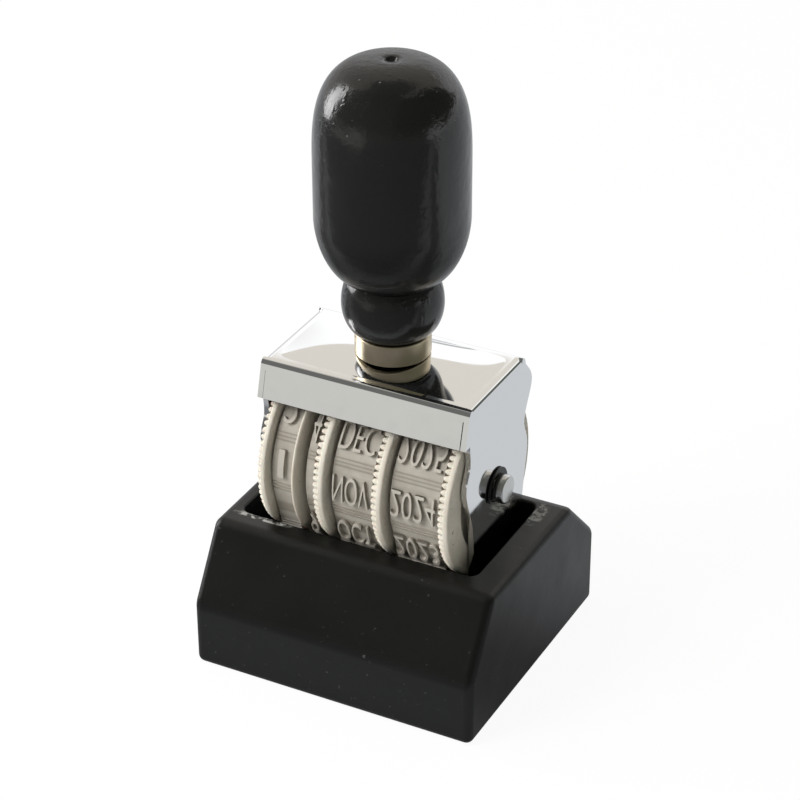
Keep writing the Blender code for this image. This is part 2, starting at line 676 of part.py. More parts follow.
def platen():
    """The bar between the feet that the bands slide round, and a rivet through each cheek."""
    top = PLATEN_BOTTOM_Z + PLATEN_HEIGHT
    corner_y = PLATEN_HALF_DEPTH - PLATEN_CORNER_RADIUS
    corner_z = PLATEN_BOTTOM_Z + PLATEN_CORNER_RADIUS
    outline = [
        *arc((-corner_y, corner_z), PLATEN_CORNER_RADIUS, 180, 270, 5),
        *arc((corner_y, corner_z), PLATEN_CORNER_RADIUS, 270, 360, 5),
        (PLATEN_HALF_DEPTH, top - PLATEN_TOP_CHAMFER),
        (PLATEN_HALF_DEPTH - PLATEN_TOP_CHAMFER, top),
        (PLATEN_TOP_CHAMFER - PLATEN_HALF_DEPTH, top),
        (-PLATEN_HALF_DEPTH, top - PLATEN_TOP_CHAMFER),
    ]
    end = CHEEK_INNER_X - PLATEN_END_GAP
    bar = keep(plate("platen", [outline], STAMP_SHIFT - end, STAMP_SHIFT + end), IVORY)
    hole_floor = end - RIVET_DEPTH
    for name, side in (("platen_rivet_left", -1), ("platen_rivet_right", 1)):
        near, far = sorted((side * hole_floor + STAMP_SHIFT, side * (end + OVERRUN) + STAMP_SHIFT))
        hole = tool(plate(
            f"{name}_hole", [ring((0, rivet_z()), RIVET_RADIUS + RIVET_CLEARANCE, RIVET_STEPS)], near, far,
        ))
        boolean(bar, hole, "DIFFERENCE")
        head = CHEEK_OUTER_X + RIVET_HEAD_GAP
        profile = [
            (0, head + RIVET_HEAD_HEIGHT),
            (RIVET_HEAD_RADIUS * RIVET_CROWN_SHARE, head + RIVET_HEAD_HEIGHT),
            (RIVET_HEAD_RADIUS, head + RIVET_HEAD_HEIGHT * RIVET_SIDE_SHARE),
            (RIVET_HEAD_RADIUS, head),
            (RIVET_RADIUS, head),
            (RIVET_RADIUS, hole_floor + RIVET_CLEARANCE),
            (0, hole_floor + RIVET_CLEARANCE),
        ]
        facing = Matrix.Rotation(math.pi, 4, "Z") if side < 0 else Matrix.Identity(4)
        place = Matrix.Translation((STAMP_SHIFT, 0, rivet_z())) @ facing @ WORLD_X_FROM_LOCAL_Z
        keep(turned(name, profile, RIVET_STEPS, place, closed=False), STEEL)
    return smooth(bar)


def handle_profile():
    """Half section of the handle's outside, from the edge of its centre mark down to the ferrule."""
    shoulder_z = FERRULE_TOP_Z + BEAD_HEIGHT
    dome_z = HANDLE_TOP - HANDLE_DOME_HEIGHT
    dome = [
        (HANDLE_RADIUS * math.cos(t) ** (2 / DOME_SQUARENESS_SHARE),
         dome_z + HANDLE_DOME_HEIGHT * math.sin(t) ** (2 / DOME_SQUARENESS_SHARE))
        for t in (math.radians(a) for a in (80, 70, 60, 50, 40, 30, 20, 10, 0))
    ]
    spread = HANDLE_RADIUS - NECK_RADIUS
    shoulder = [
        (NECK_RADIUS + spread * math.cos(t) ** (2 / SHOULDER_SQUARENESS_SHARE),
         shoulder_z + HANDLE_SHOULDER_HEIGHT * (1 - math.sin(t) ** (2 / SHOULDER_SQUARENESS_SHARE)))
        for t in (math.radians(a) for a in (0, 12, 25, 38, 50, 62, 74, 90))
    ]
    swell = BEAD_RADIUS - (BEAD_BOTTOM_RADIUS + NECK_RADIUS) / 2
    bead_z = FERRULE_TOP_Z + STAND_GAP
    bead = [
        (BEAD_BOTTOM_RADIUS + (NECK_RADIUS - BEAD_BOTTOM_RADIUS) * t
         + swell * math.sin(math.pi * t) ** BEAD_FULLNESS_SHARE,
         bead_z + (shoulder_z - bead_z) * t)
        for t in BEAD_STEP_SHARES
    ]
    return [*dome, *shoulder, *bead]


def handle():
    tenon_radius = FERRULE_RADIUS - FERRULE_WALL - TENON_GAP
    tenon_z = FERRULE_BOTTOM_Z + STAND_GAP
    bore_radius = SCREW_RADIUS + SCREW_CLEARANCE
    bore_top = FERRULE_BOTTOM_Z + SCREW_BITE + SCREW_CLEARANCE
    outside = handle_profile()
    profile = [
        (0, HANDLE_TOP - CENTRE_MARK_DEPTH),
        (CENTRE_MARK_RADIUS * CENTRE_MARK_FLAT_SHARE, HANDLE_TOP - CENTRE_MARK_DEPTH),
        (CENTRE_MARK_RADIUS, HANDLE_TOP),
        *outside,
        (tenon_radius, outside[-1][1]),
        (tenon_radius, tenon_z),
        (bore_radius, tenon_z),
        (bore_radius, bore_top),
        (0, bore_top),
    ]
    place = Matrix.Translation((HANDLE_SHIFT, 0, 0))
    return keep(turned("handle", profile, TURN_STEPS, place, closed=False), LACQUER)


def ferrule():
    r, wall, edge = FERRULE_RADIUS, FERRULE_WALL, FERRULE_EDGE_ROUND
    profile = [
        (r - edge, FERRULE_TOP_Z), (r, FERRULE_TOP_Z - edge),
        (r, FERRULE_BOTTOM_Z + edge), (r - edge, FERRULE_BOTTOM_Z),
        (r - wall, FERRULE_BOTTOM_Z), (r - wall, FERRULE_TOP_Z),
    ]
    return keep(turned("ferrule", profile, TURN_STEPS, Matrix.Translation((HANDLE_SHIFT, 0, 0))), NICKEL)


def handle_screw():
    """The screw that holds handle and ferrule to the hood, and its washer."""
    washer_top = HOOD_UNDERSIDE_Z + crown_swell(0, SCREW_WASHER_RADIUS) - SCREW_SEAT_GAP
    washer_bottom = washer_top - SCREW_WASHER_THICKNESS
    head_top = washer_bottom - SCREW_SEAT_GAP
    head_bottom = head_top - SCREW_HEAD_HEIGHT
    place = Matrix.Translation((HANDLE_SHIFT, 0, 0))
    washer = ring_profile(SCREW_RADIUS + SCREW_CLEARANCE, SCREW_WASHER_RADIUS, washer_bottom, washer_top)
    keep(turned("handle_screw_washer", washer, SMALL_TURN_STEPS, place), STEEL)
    profile = [
        (0, FERRULE_BOTTOM_Z + SCREW_BITE), (SCREW_RADIUS * SCREW_TIP_SHARE, FERRULE_BOTTOM_Z + SCREW_BITE),
        (SCREW_RADIUS, FERRULE_BOTTOM_Z + SCREW_BITE - SCREW_RADIUS),
        (SCREW_RADIUS, head_top), (SCREW_HEAD_RADIUS, head_top),
        (SCREW_HEAD_RADIUS, head_bottom), (0, head_bottom),
    ]
    screw = keep(turned("handle_screw", profile, SMALL_TURN_STEPS, place, closed=False), STEEL)
    slot = tool(box(
        "screw_slot",
        (HANDLE_SHIFT - SCREW_SLOT_WIDTH / 2, -SCREW_HEAD_RADIUS - OVERRUN, head_bottom - OVERRUN),
        (HANDLE_SHIFT + SCREW_SLOT_WIDTH / 2, SCREW_HEAD_RADIUS + OVERRUN, head_bottom + SCREW_SLOT_DEPTH),
    ))
    return boolean(screw, slot, "DIFFERENCE")


holder()
frame()
axle()
axle_clips()
thumb_wheels()
type_bands()
platen()
ferrule()
handle()
handle_screw()
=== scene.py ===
"""Looks of the band date stamp in its holder. Metres, +Z up, front towards -Y."""

import json
import math

import bmesh
import bpy
from mathutils import Matrix, Vector


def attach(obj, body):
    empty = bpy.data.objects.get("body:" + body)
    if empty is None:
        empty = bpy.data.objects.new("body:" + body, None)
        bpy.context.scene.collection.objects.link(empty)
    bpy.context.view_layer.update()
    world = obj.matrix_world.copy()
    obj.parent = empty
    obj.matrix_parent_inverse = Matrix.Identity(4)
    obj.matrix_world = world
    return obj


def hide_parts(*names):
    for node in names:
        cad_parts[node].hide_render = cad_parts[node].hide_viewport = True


# Sizes of the solids that the pieces stand for
BLOCK_LENGTH = 0.0450
BLOCK_DEPTH = 0.0420
BLOCK_HEIGHT = 0.0213
BLOCK_FRONT_WALL = 0.0105
BLOCK_BACK_WALL = 0.0125
BLOCK_FRONT_TOP = 0.0143
BLOCK_BACK_TOP = 0.0122
BLOCK_EDGE = 0.0012
POCKET_LENGTH = 0.0380
POCKET_DEPTH = 0.0212
POCKET_FLOOR = 0.0060
POCKET_SHIFT = -0.0011
POCKET_CORNER = 0.0014
POCKET_LIP = 0.00035

STAMP_SHIFT = -0.00045
SHEET = 0.0008
HOOD_LENGTH = 0.0329
HOOD_TOP_DEPTH = 0.0174
APRON_FOOT_DEPTH = 0.0204
HOOD_TOP = 0.0467
CROWN_RISE = 0.00128
CROWN_MARGIN = 0.0001
HOOD_BEND = 0.0011
APRON_HEIGHT = 0.0056
APRON_SLIT = 0.00014
SLIT_MARGIN = 0.0005
SHEET_LIP = 0.00012
FOOT_Z = 0.0092
FOOT_ROUND = 0.0016
BACK_EDGE = (
    (0.0080, 0.0108), (0.0080, 0.01685), (0.0090, 0.0245), (0.0102, 0.0316), (0.0090, 0.0362),
    (0.0113, 0.0417), (0.0094, 0.0450),
)
FRONT_EDGE = (
    (0.0070, 0.0108), (0.0070, 0.0179), (0.0075, 0.0266), (0.0097, 0.0337), (0.0085, 0.0376),
    (0.0087, 0.0410), (0.0085, 0.0447),
)
CHEEK_X = HOOD_LENGTH / 2
RIVET_Z = 0.0108
RIVET_HOLE_RADIUS = 0.00115
SCREW_HOLE_RADIUS = 0.0021

AXLE_Z = 0.0298
AXLE_RADIUS = 0.00215
AXLE_OVERHANG = 0.0019
AXLE_END_ROUND = 0.00035
AXLE_HOLE_PLAY = 0.00015
GROOVE_OFFSET = 0.00006
GROOVE_WIDTH = 0.0003
GROOVE_RADIUS = 0.0016
GROOVE_LIP = 0.00005
CLIP_THICKNESS = 0.0002
CLIP_RADIUS = 0.0030
CLIP_GRIP = 0.0017
CLIP_RELIEF = 0.0022
CLIP_MOUTH = 96
CLIP_TURN = 255

RIM_RADIUS = 0.0133
DRUM_RADIUS = 0.0104
BORE_RADIUS = 0.0023
RIM_WIDTH = 0.0020
TENS_RIM_WIDTH = 0.0016
FLANGE_WIDTH = 0.0013
WHEEL_GAP = 0.0003
TENS_DRUM = 0.0039
UNITS_DRUM = 0.0019
MONTH_DRUM = 0.0070
RIM_PLAY = 0.00025
TOOTH_REACH = 0.00090
TENS_TOOTH_REACH = 0.00065
TOOTH_COUNT = 80
TOOTH_CIRCLE = 0.01252
TOOTH_WIDTH = 0.00052
TOOTH_HEIGHT = 0.00075
TOOTH_LAP = 0.00015
CROWN_FOOT = 0.0125
BAND_THICKNESS = 0.0010
BAND_SIDE_GAP = 0.0003
SEAT_GAP = 0.0003
PLATEN_HALF_DEPTH = 0.0046
PLATEN_CORNER = 0.0018
PLATEN_BOTTOM = 0.0082

FERRULE_BOTTOM = 0.0480
FERRULE_RADIUS = 0.00545
FERRULE_HEIGHT = 0.0033
HANDLE_SHIFT = -0.00045
HANDLE_TOP = 0.0922
HANDLE_RADIUS = 0.0109
NECK_RADIUS = 0.0061
BEAD_RADIUS = 0.0073
BEAD_BOTTOM_RADIUS = 0.0053
BEAD_HEIGHT = 0.0087
SHOULDER_HEIGHT = 0.0093
DOME_HEIGHT = 0.0150
DOME_POWER = 3.0
SHOULDER_POWER = 1.8
TENON_RADIUS = 0.00455
SCREW_BORE_TOP = 0.0632

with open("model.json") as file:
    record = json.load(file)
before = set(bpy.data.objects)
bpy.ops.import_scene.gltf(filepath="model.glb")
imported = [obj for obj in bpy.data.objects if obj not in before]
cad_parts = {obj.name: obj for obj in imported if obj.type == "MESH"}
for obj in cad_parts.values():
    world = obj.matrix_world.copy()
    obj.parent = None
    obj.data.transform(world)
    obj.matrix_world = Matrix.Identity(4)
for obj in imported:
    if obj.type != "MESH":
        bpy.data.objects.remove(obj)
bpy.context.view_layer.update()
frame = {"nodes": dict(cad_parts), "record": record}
X_FROM_Z = Matrix(((0, 0, 1, 0), (1, 0, 0, 0), (0, 1, 0, 0), (0, 0, 0, 1)))


# Shader writing

class Value:
    """A shader socket that takes part in arithmetic."""

    def __init__(self, finish, socket):
        self.finish, self.socket = finish, socket

    def _with(self, operation, left, right):
        return self.finish.node("Math", {"operation": operation}, {0: left, 1: right})

    def __add__(self, other):
        return self._with("ADD", self, other)

    def __sub__(self, other):
        return self._with("SUBTRACT", self, other)

    def __rsub__(self, other):
        return self._with("SUBTRACT", other, self)

    def __mul__(self, other):
        return self._with("MULTIPLY", self, other)

    __radd__, __rmul__ = __add__, __mul__


class Nodes:
    """A shader tree in which every node comes from one method."""

    def __init__(self, tree, place):
        self.tree = tree
        self.place = self.node("TexCoord", {}, {}, place)
        self.x, self.y, self.z = (self.node("SeparateXYZ", {}, {0: self.place}, axis) for axis in "XYZ")

    def node(self, kind, settings, values, output=0):
        made = self.tree.nodes.new("ShaderNode" + kind)
        for key, value in settings.items():
            if key == "stops":
                ramp = made.color_ramp
                while len(ramp.elements) < len(value):
                    ramp.elements.new(1.0)
                for element, (at, colour) in zip(ramp.elements, value):
                    element.position, element.color = at, (*colour, 1.0)
            else:
                setattr(made, key, value)
        for key, value in values.items():
            if isinstance(value, Value):
                self.tree.links.new(value.socket, made.inputs[key])
            else:
                made.inputs[key].default_value = value
        return Value(self, made.outputs[output])

    def noise(self, scale, detail=3.0, roughness=0.5, stretch=None, seed=0.0):
        at = self.place
        if stretch:
            at = self.node("Mapping", {}, {"Vector": at, "Scale": stretch})
        if seed:
            at = self.node("VectorMath", {"operation": "ADD"}, {0: at, 1: (seed, seed, seed)})
        return self.node(
            "TexNoise", {}, {"Vector": at, "Scale": scale, "Detail": detail, "Roughness": roughness}, "Fac",
        )

    def ease(self, value, low, high):
        return self.node(
            "MapRange", {"interpolation_type": "SMOOTHSTEP"},
            {"Value": value, "From Min": low, "From Max": high},
        )

    def near(self, value, centre, reach):
        """One at centre, easing to nought at reach from it."""
        away = self.node("Math", {"operation": "ABSOLUTE"}, {0: value - centre})
        return 1 - self.ease(away, 0.0, reach)

    def mix(self, factor, a, b):
        values = {"Factor": factor, 6: a, 7: b}
        return self.node("Mix", {"data_type": "RGBA"}, values, 2)


class Finish(Nodes):
    """A material with one main shader."""

    def __init__(self, name, **uniform):
        self.material = bpy.data.materials.new(name)
        self.material.use_nodes = True
        super().__init__(self.material.node_tree, "Object")
        self.shader = self.tree.nodes["Principled BSDF"]
        for socket, value in uniform.items():
            self.shader.inputs[socket.replace("_", " ")].default_value = value

    def set(self, socket, value):
        self.tree.links.new(value.socket, self.shader.inputs[socket])

    def bump(self, height, distance, before=None):
        values = {"Height": height, "Distance": distance}
        if before:
            values["Normal"] = before
        return self.node("Bump", {}, values)

    def blend(self, factor, other):
        """Shows another shader instead of what there is so far, as far as factor says."""
        surface = self.tree.nodes["Material Output"].inputs["Surface"]
        so_far = Value(self, surface.links[0].from_socket)
        both = self.node("MixShader", {}, {0: factor, 1: so_far, 2: other})
        self.tree.links.new(both.socket, surface)


def rgb(text):
    """A linear colour from six hexadecimal digits."""
    parts = (int(text[i:i + 2], 16) / 255 for i in (0, 2, 4))
    return (*(p / 12.92 if p <= 0.04045 else ((p + 0.055) / 1.055) ** 2.4 for p in parts), 1.0)


# Finishes

def satin_paint():
    f = Finish("satin_black_paint", Specular_IOR_Level=0.4)
    grain = f.noise(260.0, 4.0, 0.6, stretch=(0.25, 1.0, 1.0))
    speck = f.ease(f.noise(1500.0, 2.0, 0.5, seed=3.1), 0.70, 0.78)
    cloud = f.noise(90.0, 3.0, 0.5, seed=1.7)
    rim = f.ease(f.z, 0.0200, 0.0211)
    scuff = f.ease(f.noise(800.0, 5.0, 0.65, seed=5.3), 0.46, 0.58)
    back_right = f.near(f.x, 0.0187, 0.0020) * f.near(f.y, 0.0080, 0.0046)
    front_left = f.near(f.x, -0.0160, 0.0070) * f.near(f.y, -0.0111, 0.0010)
    worn = rim * scuff * f.ease(back_right + front_left, 0.10, 0.50)
    base = f.mix(cloud, rgb("080807"), rgb("0e0e0d"))
    base = f.mix(speck * 0.4, base, rgb("5d5d5b"))
    base = f.mix(worn, base, rgb("9c9c97"))
    f.set("Base Color", base)
    f.set("Roughness", f.ease(cloud + grain * 0.3, 0.2, 1.2) * 0.14 + 0.36)
    fine = f.bump(grain, 0.00003)
    f.set("Normal", f.bump(f.noise(500.0, 2.0), 0.00002, before=fine))
    return f.material


def chrome_plate():
    f = Finish("chrome_plate", Metallic=1.0, Base_Color=rgb("e8e9ea"))
    haze = f.noise(420.0, 5.0, 0.6)
    f.set("Roughness", f.ease(haze, 0.3, 0.8) * 0.05 + 0.045)
    wave = f.noise(60.0, 1.0, 0.4)
    f.set("Normal", f.bump(wave, 0.00006))
    return f.material


def moulded_ivory():
    f = Finish("ivory_moulding", Specular_IOR_Level=0.3, Subsurface_Weight=0.08, Subsurface_Scale=0.0008)
    stain = f.noise(230.0, 4.0, 0.6)
    speck = f.ease(f.noise(900.0, 1.0, 0.5, seed=2.4), 0.76, 0.80)
    base = f.mix(f.ease(stain, 0.35, 0.7), rgb("c9c3b7"), rgb("bdb6a9"))
    base = f.mix(speck * 0.7, base, rgb("6e6455"))
    f.set("Base Color", base)
    f.set("Roughness", stain * 0.2 + 0.38)
    f.set("Normal", f.bump(f.noise(1400.0, 2.0), 0.00002))
    return f.material


def band_rubber():
    f = Finish("band_rubber", Specular_IOR_Level=0.3)
    out = f.node("Math", {"operation": "SQRT"}, {0: f.y * f.y + (f.z - AXLE_Z) * (f.z - AXLE_Z)})
    round_drum = f.ease(f.z, 0.021, 0.023)
    # masks for a painted highlight on the raised type's tops and painted shade on its flanks
    top = f.ease(out, DRUM_RADIUS + 0.00170, DRUM_RADIUS + 0.00186) * round_drum
    painted_shade_flank = f.ease(out, DRUM_RADIUS + 0.00134, DRUM_RADIUS + 0.00142) * round_drum
    cloud = f.noise(300.0, 4.0, 0.6)
    lines = f.noise(900.0, 2.0, 0.5, stretch=(0.12, 1.0, 1.0))
    base = f.mix(f.ease(cloud, 0.3, 0.7), rgb("aaa59c"), rgb("9e988e"))
    base = f.mix(f.ease(lines, 0.55, 0.75) * 0.35, base, rgb("827c72"))
    # painted shade darkens the raised type's flanks, then a painted highlight lightens its tops
    base = f.mix(painted_shade_flank * 0.6, base, rgb("7b7468"))
    base = f.mix(top * 0.8, base, rgb("b4afa6"))
    f.set("Base Color", base)
    f.set("Roughness", cloud * 0.15 + 0.5)
    f.set("Normal", f.bump(lines, 0.00012))
    return f.material


def gloss_lacquer():
    f = Finish("gloss_black_lacquer", Specular_IOR_Level=0.12)
    dust = f.ease(f.noise(1300.0, 1.0, 0.5, seed=1.2), 0.775, 0.80) * f.ease(f.z, 0.0780, 0.0860)
    base = f.mix(dust, f.mix(f.noise(120.0), rgb("0f0f0e"), rgb("151514")), rgb("5c5c5a"))
    low = f.noise(260.0, 3.0, 0.55)
    pimples = f.ease(f.noise(620.0, 2.0, 0.5, seed=4.2), 0.58, 0.75)
    grain = f.noise(1700.0, 2.0, 0.6, seed=7.7)
    bead = f.near(f.z, 0.0585, 0.0040)
    top = f.ease(f.z, 0.0800, 0.0885)
    first = f.bump(low, 0.00016)
    second = f.bump(pimples * (bead * 0.8 + top * 0.2 + 0.10), 0.00010, before=first)
    surface = f.bump(grain * (top * 0.9 + 0.1), 0.00003, before=second)
    f.set("Base Color", base)
    f.set("Normal", surface)
    f.set("Roughness", top * 0.1 + 0.35)
    clear = f.node(
        "BsdfPrincipled", {},
        {"Base Color": base, "Normal": surface, "Roughness": 0.17, "Specular IOR Level": 0.6},
    )
    # painted shade: round the neck, the bead and the dome's top the glossy shader gives way to the duller
    # one, which dims the reflections there
    painted_shade_dimmed_gloss = f.near(f.z, 0.0650, 0.0055) * 0.7 + bead * 0.3 + f.ease(f.z, 0.0880, 0.0915) * 0.4
    f.blend(1 - painted_shade_dimmed_gloss, clear)
    return f.material


def warm_plate():
    f = Finish("warm_plate", Metallic=1.0)
    f.set("Base Color", f.mix(f.noise(500.0, 4.0), rgb("dacdb4"), rgb("cdbfa2")))
    f.set("Roughness", f.noise(700.0, 3.0, stretch=(1.0, 1.0, 6.0)) * 0.10 + 0.32)
    return f.material


def bright_steel():
    f = Finish("bright_steel", Metallic=1.0, Base_Color=rgb("cfcfcd"))
    f.set("Roughness", f.noise(1200.0, 3.0) * 0.15 + 0.16)
    f.set("Normal", f.bump(f.noise(2500.0, 2.0, stretch=(0.2, 1.0, 1.0)), 0.00001))
    return f.material


def blackened_steel():
    f = Finish("blackened_steel", Metallic=0.3, Base_Color=rgb("141414"))
    f.set("Roughness", f.noise(1500.0, 3.0) * 0.2 + 0.3)
    return f.material


# Shapes

def arc(centre, radius, start, end, steps):
    angles = (math.radians(start + (end - start) * i / steps) for i in range(steps + 1))
    return [(centre[0] + radius * math.cos(a), centre[1] + radius * math.sin(a)) for a in angles]


def eased(points, steps):
    """A smooth curve through points."""
    ends = [points[0], *points, points[-1]]
    out = []
    for a, b, c, d in zip(ends, ends[1:], ends[2:], ends[3:]):
        for i in range(steps):
            t = i / steps
            out.append(tuple(
                0.5 * (2 * q + (r - p) * t + (2 * p - 5 * q + 4 * r - s) * t * t
                       + (3 * q - p - 3 * r + s) * t ** 3)
                for p, q, r, s in zip(a, b, c, d)
            ))
    return [*out, points[-1]]


def to_object(name, shape):
    """A scene object from a bmesh, with outward faces."""
    bmesh.ops.remove_doubles(shape, verts=shape.verts, dist=0.000002)
    bmesh.ops.recalc_face_normals(shape, faces=shape.faces)
    mesh = bpy.data.meshes.new(name)
    shape.to_mesh(mesh)
    shape.free()
    obj = bpy.data.objects.new(name, mesh)
    bpy.context.scene.collection.objects.link(obj)
    return obj


def plate(name, outlines, low, high, place=X_FROM_Z):
    """Flat outlines with holes, given thickness from low to high."""
    curve = bpy.data.curves.new(name, "CURVE")
    curve.dimensions, curve.fill_mode = "2D", "BOTH"
    curve.extrude = (high - low) / 2
    for outline in outlines:
        spline = curve.splines.new("POLY")
        spline.points.add(len(outline) - 1)
        for point, at in zip(spline.points, outline):
            point.co = (at[0], at[1], 0, 1)
        spline.use_cyclic_u = True
    drawn = bpy.data.objects.new(name, curve)
    bpy.context.scene.collection.objects.link(drawn)
    bpy.context.view_layer.update()
    mesh = bpy.data.meshes.new_from_object(drawn.evaluated_get(bpy.context.evaluated_depsgraph_get()))
    bpy.data.objects.remove(drawn)
    shape = bmesh.new()
    shape.from_mesh(mesh)
    bmesh.ops.remove_doubles(shape, verts=shape.verts, dist=0.000005)
    bmesh.ops.translate(shape, verts=shape.verts, vec=(0, 0, (high + low) / 2))
    bmesh.ops.transform(shape, verts=shape.verts, matrix=place)
    bmesh.ops.recalc_face_normals(shape, faces=shape.faces)
    bmesh.ops.dissolve_limit(shape, angle_limit=0.0005, verts=shape.verts, edges=shape.edges)
    return to_object(name, shape)


def turned(name, profile, steps, place):
    """A closed or axis-to-axis profile of (radius, height) turned about the axis that place gives."""
    shape = bmesh.new()
    rings = []
    for r, z in profile:
        if r == 0:
            rings.append([shape.verts.new((0, 0, z))])
        else:
            rings.append([shape.verts.new((x, y, z)) for x, y in arc((0, 0), r, 0, 360, steps)[:-1]])
    pairs = list(zip(rings, rings[1:]))
    if profile[0][0] and profile[-1][0]:
        pairs.append((rings[-1], rings[0]))
    for a, b in pairs:
        for i in range(steps):
            j = (i + 1) % steps
            corners = [a[i % len(a)], a[j % len(a)], b[j % len(b)], b[i % len(b)]]
            shape.faces.new(list(dict.fromkeys(corners)))
    bmesh.ops.transform(shape, verts=shape.verts, matrix=place)
    return to_object(name, shape)


def modify(obj, kind, **settings):
    made = obj.modifiers.new(kind.title(), kind)
    for key, value in settings.items():
        setattr(made, key, value)


def cut(obj, other, operation="DIFFERENCE"):
    """Cuts or joins another shape, which is then gone."""
    modify(obj, "BOOLEAN", operation=operation, solver="EXACT", object=other)
    settle(obj)
    bpy.data.objects.remove(other)


def settle(obj):
    """Turns live modifiers into plain mesh."""
    bpy.context.view_layer.update()
    evaluated = obj.evaluated_get(bpy.context.evaluated_depsgraph_get())
    mesh = bpy.data.meshes.new_from_object(evaluated)
    obj.modifiers.clear()
    obj.data = mesh
    return obj


def smooth(obj, angle=30.0):
    obj.data.shade_smooth()
    obj.data.set_sharp_from_angle(angle=math.radians(angle))
    return obj


def weighted(obj, angle=30.0):
    """Smooth shading in which large flat faces keep their own normal."""
    smooth(obj, angle)
    modify(obj, "WEIGHTED_NORMAL", keep_sharp=True, weight=80)
    return settle(obj)


def piece(obj, body, finish, slot, *nodes):
    """Makes obj a piece of the product: what it rides on, its material and what it stands for."""
    obj.data.materials.clear()
    obj.data.materials.append(finish)
    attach(obj, body)
    if nodes:
        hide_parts(*nodes)
    return obj


# Pieces

PAINT = satin_paint()
CHROME = chrome_plate()
IVORY = moulded_ivory()
RUBBER = band_rubber()
LACQUER = gloss_lacquer()
WARM = warm_plate()
STEEL = bright_steel()
BLACK_STEEL = blackened_steel()
CAD_FINISH = {
    "steel": STEEL, "black_steel": BLACK_STEEL, "ivory": IVORY, "rubber": RUBBER, "chrome": CHROME,
    "lacquer": LACQUER, "nickel": WARM, "block_paint": PAINT,
}


def block():
    half = BLOCK_DEPTH / 2
    outline = [
        (-half, 0), (half, 0), (half, BLOCK_BACK_WALL), (BLOCK_BACK_TOP, BLOCK_HEIGHT),
        (-BLOCK_FRONT_TOP, BLOCK_HEIGHT), (-half, BLOCK_FRONT_WALL),
    ]
    body = plate("block_body", [outline], -BLOCK_LENGTH / 2, BLOCK_LENGTH / 2)
    modify(body, "BEVEL", width=BLOCK_EDGE, segments=8, angle_limit=math.radians(15))
    settle(body)
    half_x, half_y = POCKET_LENGTH / 2 - POCKET_CORNER, POCKET_DEPTH / 2 - POCKET_CORNER
    corners = ((half_x, half_y, 0), (-half_x, half_y, 90), (-half_x, -half_y, 180), (half_x, -half_y, 270))
    rim = [p for x, y, turn in corners for p in arc((x, y), POCKET_CORNER, turn, turn + 90, 10)]
    place = Matrix.Translation((POCKET_SHIFT, 0, 0))
    cut(body, plate("pocket", [rim], POCKET_FLOOR, BLOCK_HEIGHT + 0.002, place))
    modify(body, "BEVEL", width=POCKET_LIP, segments=3, angle_limit=math.radians(60))
    settle(body)
    piece(weighted(body, 40), "holder", PAINT, "block_paint", "holder_block")


def hood_section(inset, foot_z, steps=10):
    top_z = HOOD_TOP - inset
    flare = (APRON_FOOT_DEPTH - HOOD_TOP_DEPTH) / 2 / APRON_HEIGHT
    top_y = HOOD_TOP_DEPTH / 2 - inset
    lean = math.degrees(math.atan(flare))
    radius = HOOD_BEND if inset == 0 else HOOD_BEND - SHEET
    reach = radius * math.tan(math.radians((90 - lean) / 2))
    bend = arc((top_y - reach, top_z - radius), radius, 90, lean, steps)
    back = [(top_y + flare * (top_z - foot_z), foot_z), *reversed(bend)]
    return [*back, *[(-y, z) for y, z in reversed(back)]]


def crown(name, foot_z, inset):
    """The pillow pressed up in the hood's top, which eases to nothing at its edges."""
    reach_x = HOOD_LENGTH / 2 - HOOD_BEND - CROWN_MARGIN
    reach_y = HOOD_TOP_DEPTH / 2 - HOOD_BEND - CROWN_MARGIN
    shape = bmesh.new()
    bmesh.ops.create_grid(shape, x_segments=72, y_segments=44, size=1)
    for v in shape.verts:
        x, y = abs(v.co.x), abs(v.co.y)
        swell = (1 - x ** 2.6) * (1 - y ** 2.2)
        v.co = (v.co.x * reach_x + STAMP_SHIFT, v.co.y * reach_y, HOOD_TOP - inset + CROWN_RISE * swell)
    foot = bmesh.ops.extrude_face_region(shape, geom=shape.faces[:])
    for v in foot["geom"]:
        if isinstance(v, bmesh.types.BMVert):
            v.co.z = foot_z
    return to_object(name, shape)


def cheek_outline():
    def edge(points):
        foot = arc((points[0][0] - FOOT_ROUND, FOOT_Z + FOOT_ROUND), FOOT_ROUND, -90, 0, 8)[:-1]
        return [*foot, *eased(points, 10), (HOOD_TOP_DEPTH / 2 - SHEET, HOOD_TOP - HOOD_BEND)]

    return [*edge(BACK_EDGE), *[(-y, z) for y, z in reversed(edge(FRONT_EDGE))]]


def box(name, low, high):
    shape = bmesh.new()
    bmesh.ops.create_cube(shape, size=1)
    bmesh.ops.scale(shape, verts=shape.verts, vec=Vector(high) - Vector(low))
    bmesh.ops.translate(shape, verts=shape.verts, vec=(Vector(high) + Vector(low)) / 2)
    return to_object(name, shape)


